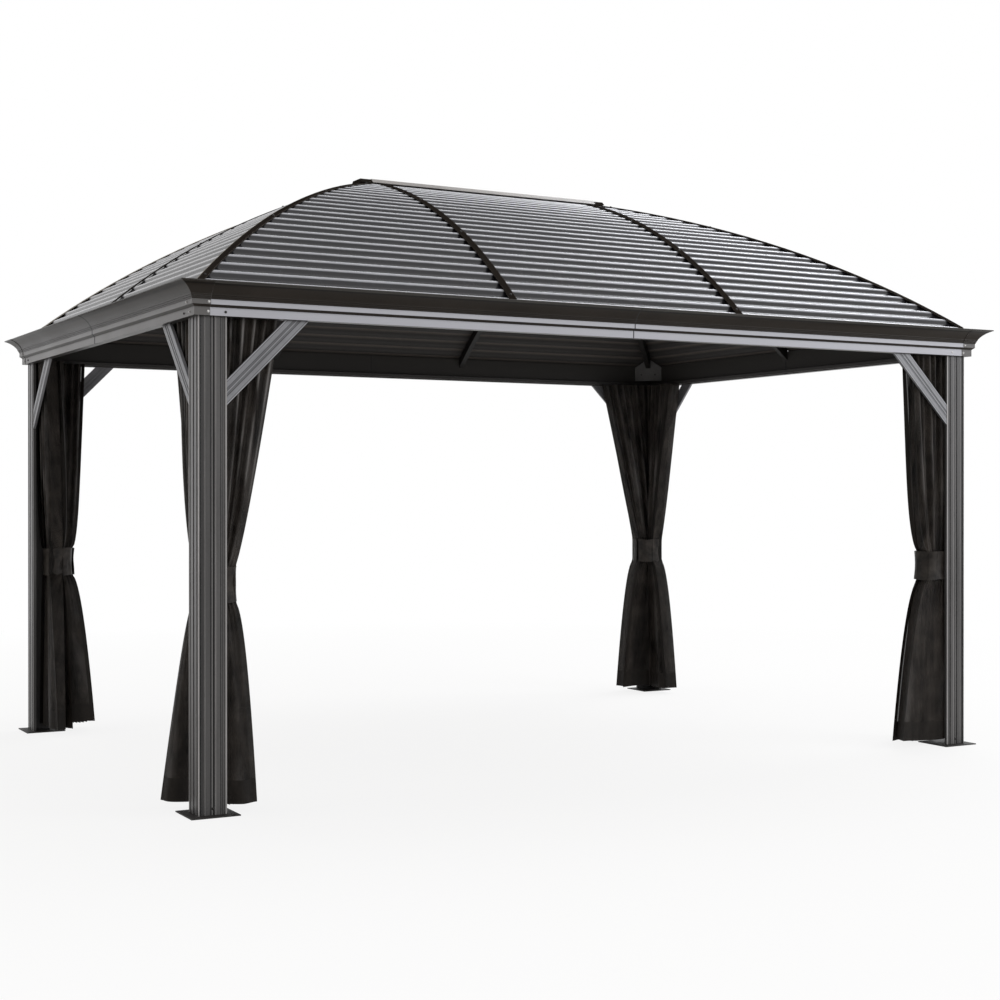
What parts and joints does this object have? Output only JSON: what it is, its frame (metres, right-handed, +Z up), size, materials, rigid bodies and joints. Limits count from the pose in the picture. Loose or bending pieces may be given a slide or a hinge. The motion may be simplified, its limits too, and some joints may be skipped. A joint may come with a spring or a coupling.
{
  "type": "hardtop garden gazebo",
  "caption": "Open metal garden gazebo: L-shaped fluted posts, cornice eaves, a bowed hip roof of corrugated sheet with rafter covers and ridge cap, and tied-back curtains.",
  "frame": {"origin": "on the ground at the middle of the plan, level with the underside of the base plates", "axes": "+X along the long side, +Y along the short side towards the back, +Z up"},
  "size_m": [4.267, 3.048, 2.8673],
  "materials": {
    "post_grey": "satin charcoal powder coat on aluminium",
    "plate_black": "matt black powder coat on steel",
    "cornice_grey": "satin charcoal powder coat on aluminium",
    "rafter_black": "satin black-brown powder coat",
    "rail_black": "satin black",
    "sheet_grey": "satin dark grey coat on galvanised steel sheet",
    "cover_black": "satin black-brown powder coat",
    "ridge_cap_grey": "satin charcoal powder coat on aluminium",
    "curtain_cloth": "black netting with a plain woven hem",
    "tie_cloth": "black woven tie band"
  },
  "bodies": {
    "root": {"corner_post_front_left": "post_grey", "knee_braces_front_left": "post_grey", "roof_sheet_long_side_front_left": "sheet_grey", "roof_sheet_short_end_front_left": "sheet_grey", "curtain_front_left": "curtain_cloth", "corner_post_front_right": "post_grey", "knee_braces_front_right": "post_grey", "roof_sheet_long_side_front_right": "sheet_grey", "roof_sheet_short_end_front_right": "sheet_grey", "curtain_front_right": "curtain_cloth", "corner_post_back_left": "post_grey", "knee_braces_back_left": "post_grey", "roof_sheet_long_side_back_left": "sheet_grey", "roof_sheet_short_end_back_left": "sheet_grey", "curtain_back_left": "curtain_cloth", "corner_post_back_right": "post_grey", "knee_braces_back_right": "post_grey", "roof_sheet_long_side_back_right": "sheet_grey", "roof_sheet_short_end_back_right": "sheet_grey", "curtain_back_right": "curtain_cloth", "eave_beam_front": "cornice_grey", "eave_beam_back": "cornice_grey", "eave_beam_left": "cornice_grey", "eave_beam_right": "cornice_grey", "base_plates": "plate_black", "roof_sheet_front_middle": "sheet_grey", "roof_sheet_back_middle": "sheet_grey", "corner_caps": "cornice_grey", "splice_plates": "rafter_black", "corner_brackets": "rafter_black", "hip_rafters": "rafter_black", "common_rafters": "rafter_black", "end_rafters": "rafter_black", "ridge_hubs": "rafter_black", "ridge_beam": "rafter_black", "long_curtain_rails": "rail_black", "short_curtain_rails": "rail_black", "hip_covers": "cover_black", "common_covers": "cover_black", "end_covers": "cover_black", "ridge_cap": "ridge_cap_grey", "ridge_cap_ends": "cover_black", "curtain_ties": "tie_cloth"}
  },
  "joints": []
}
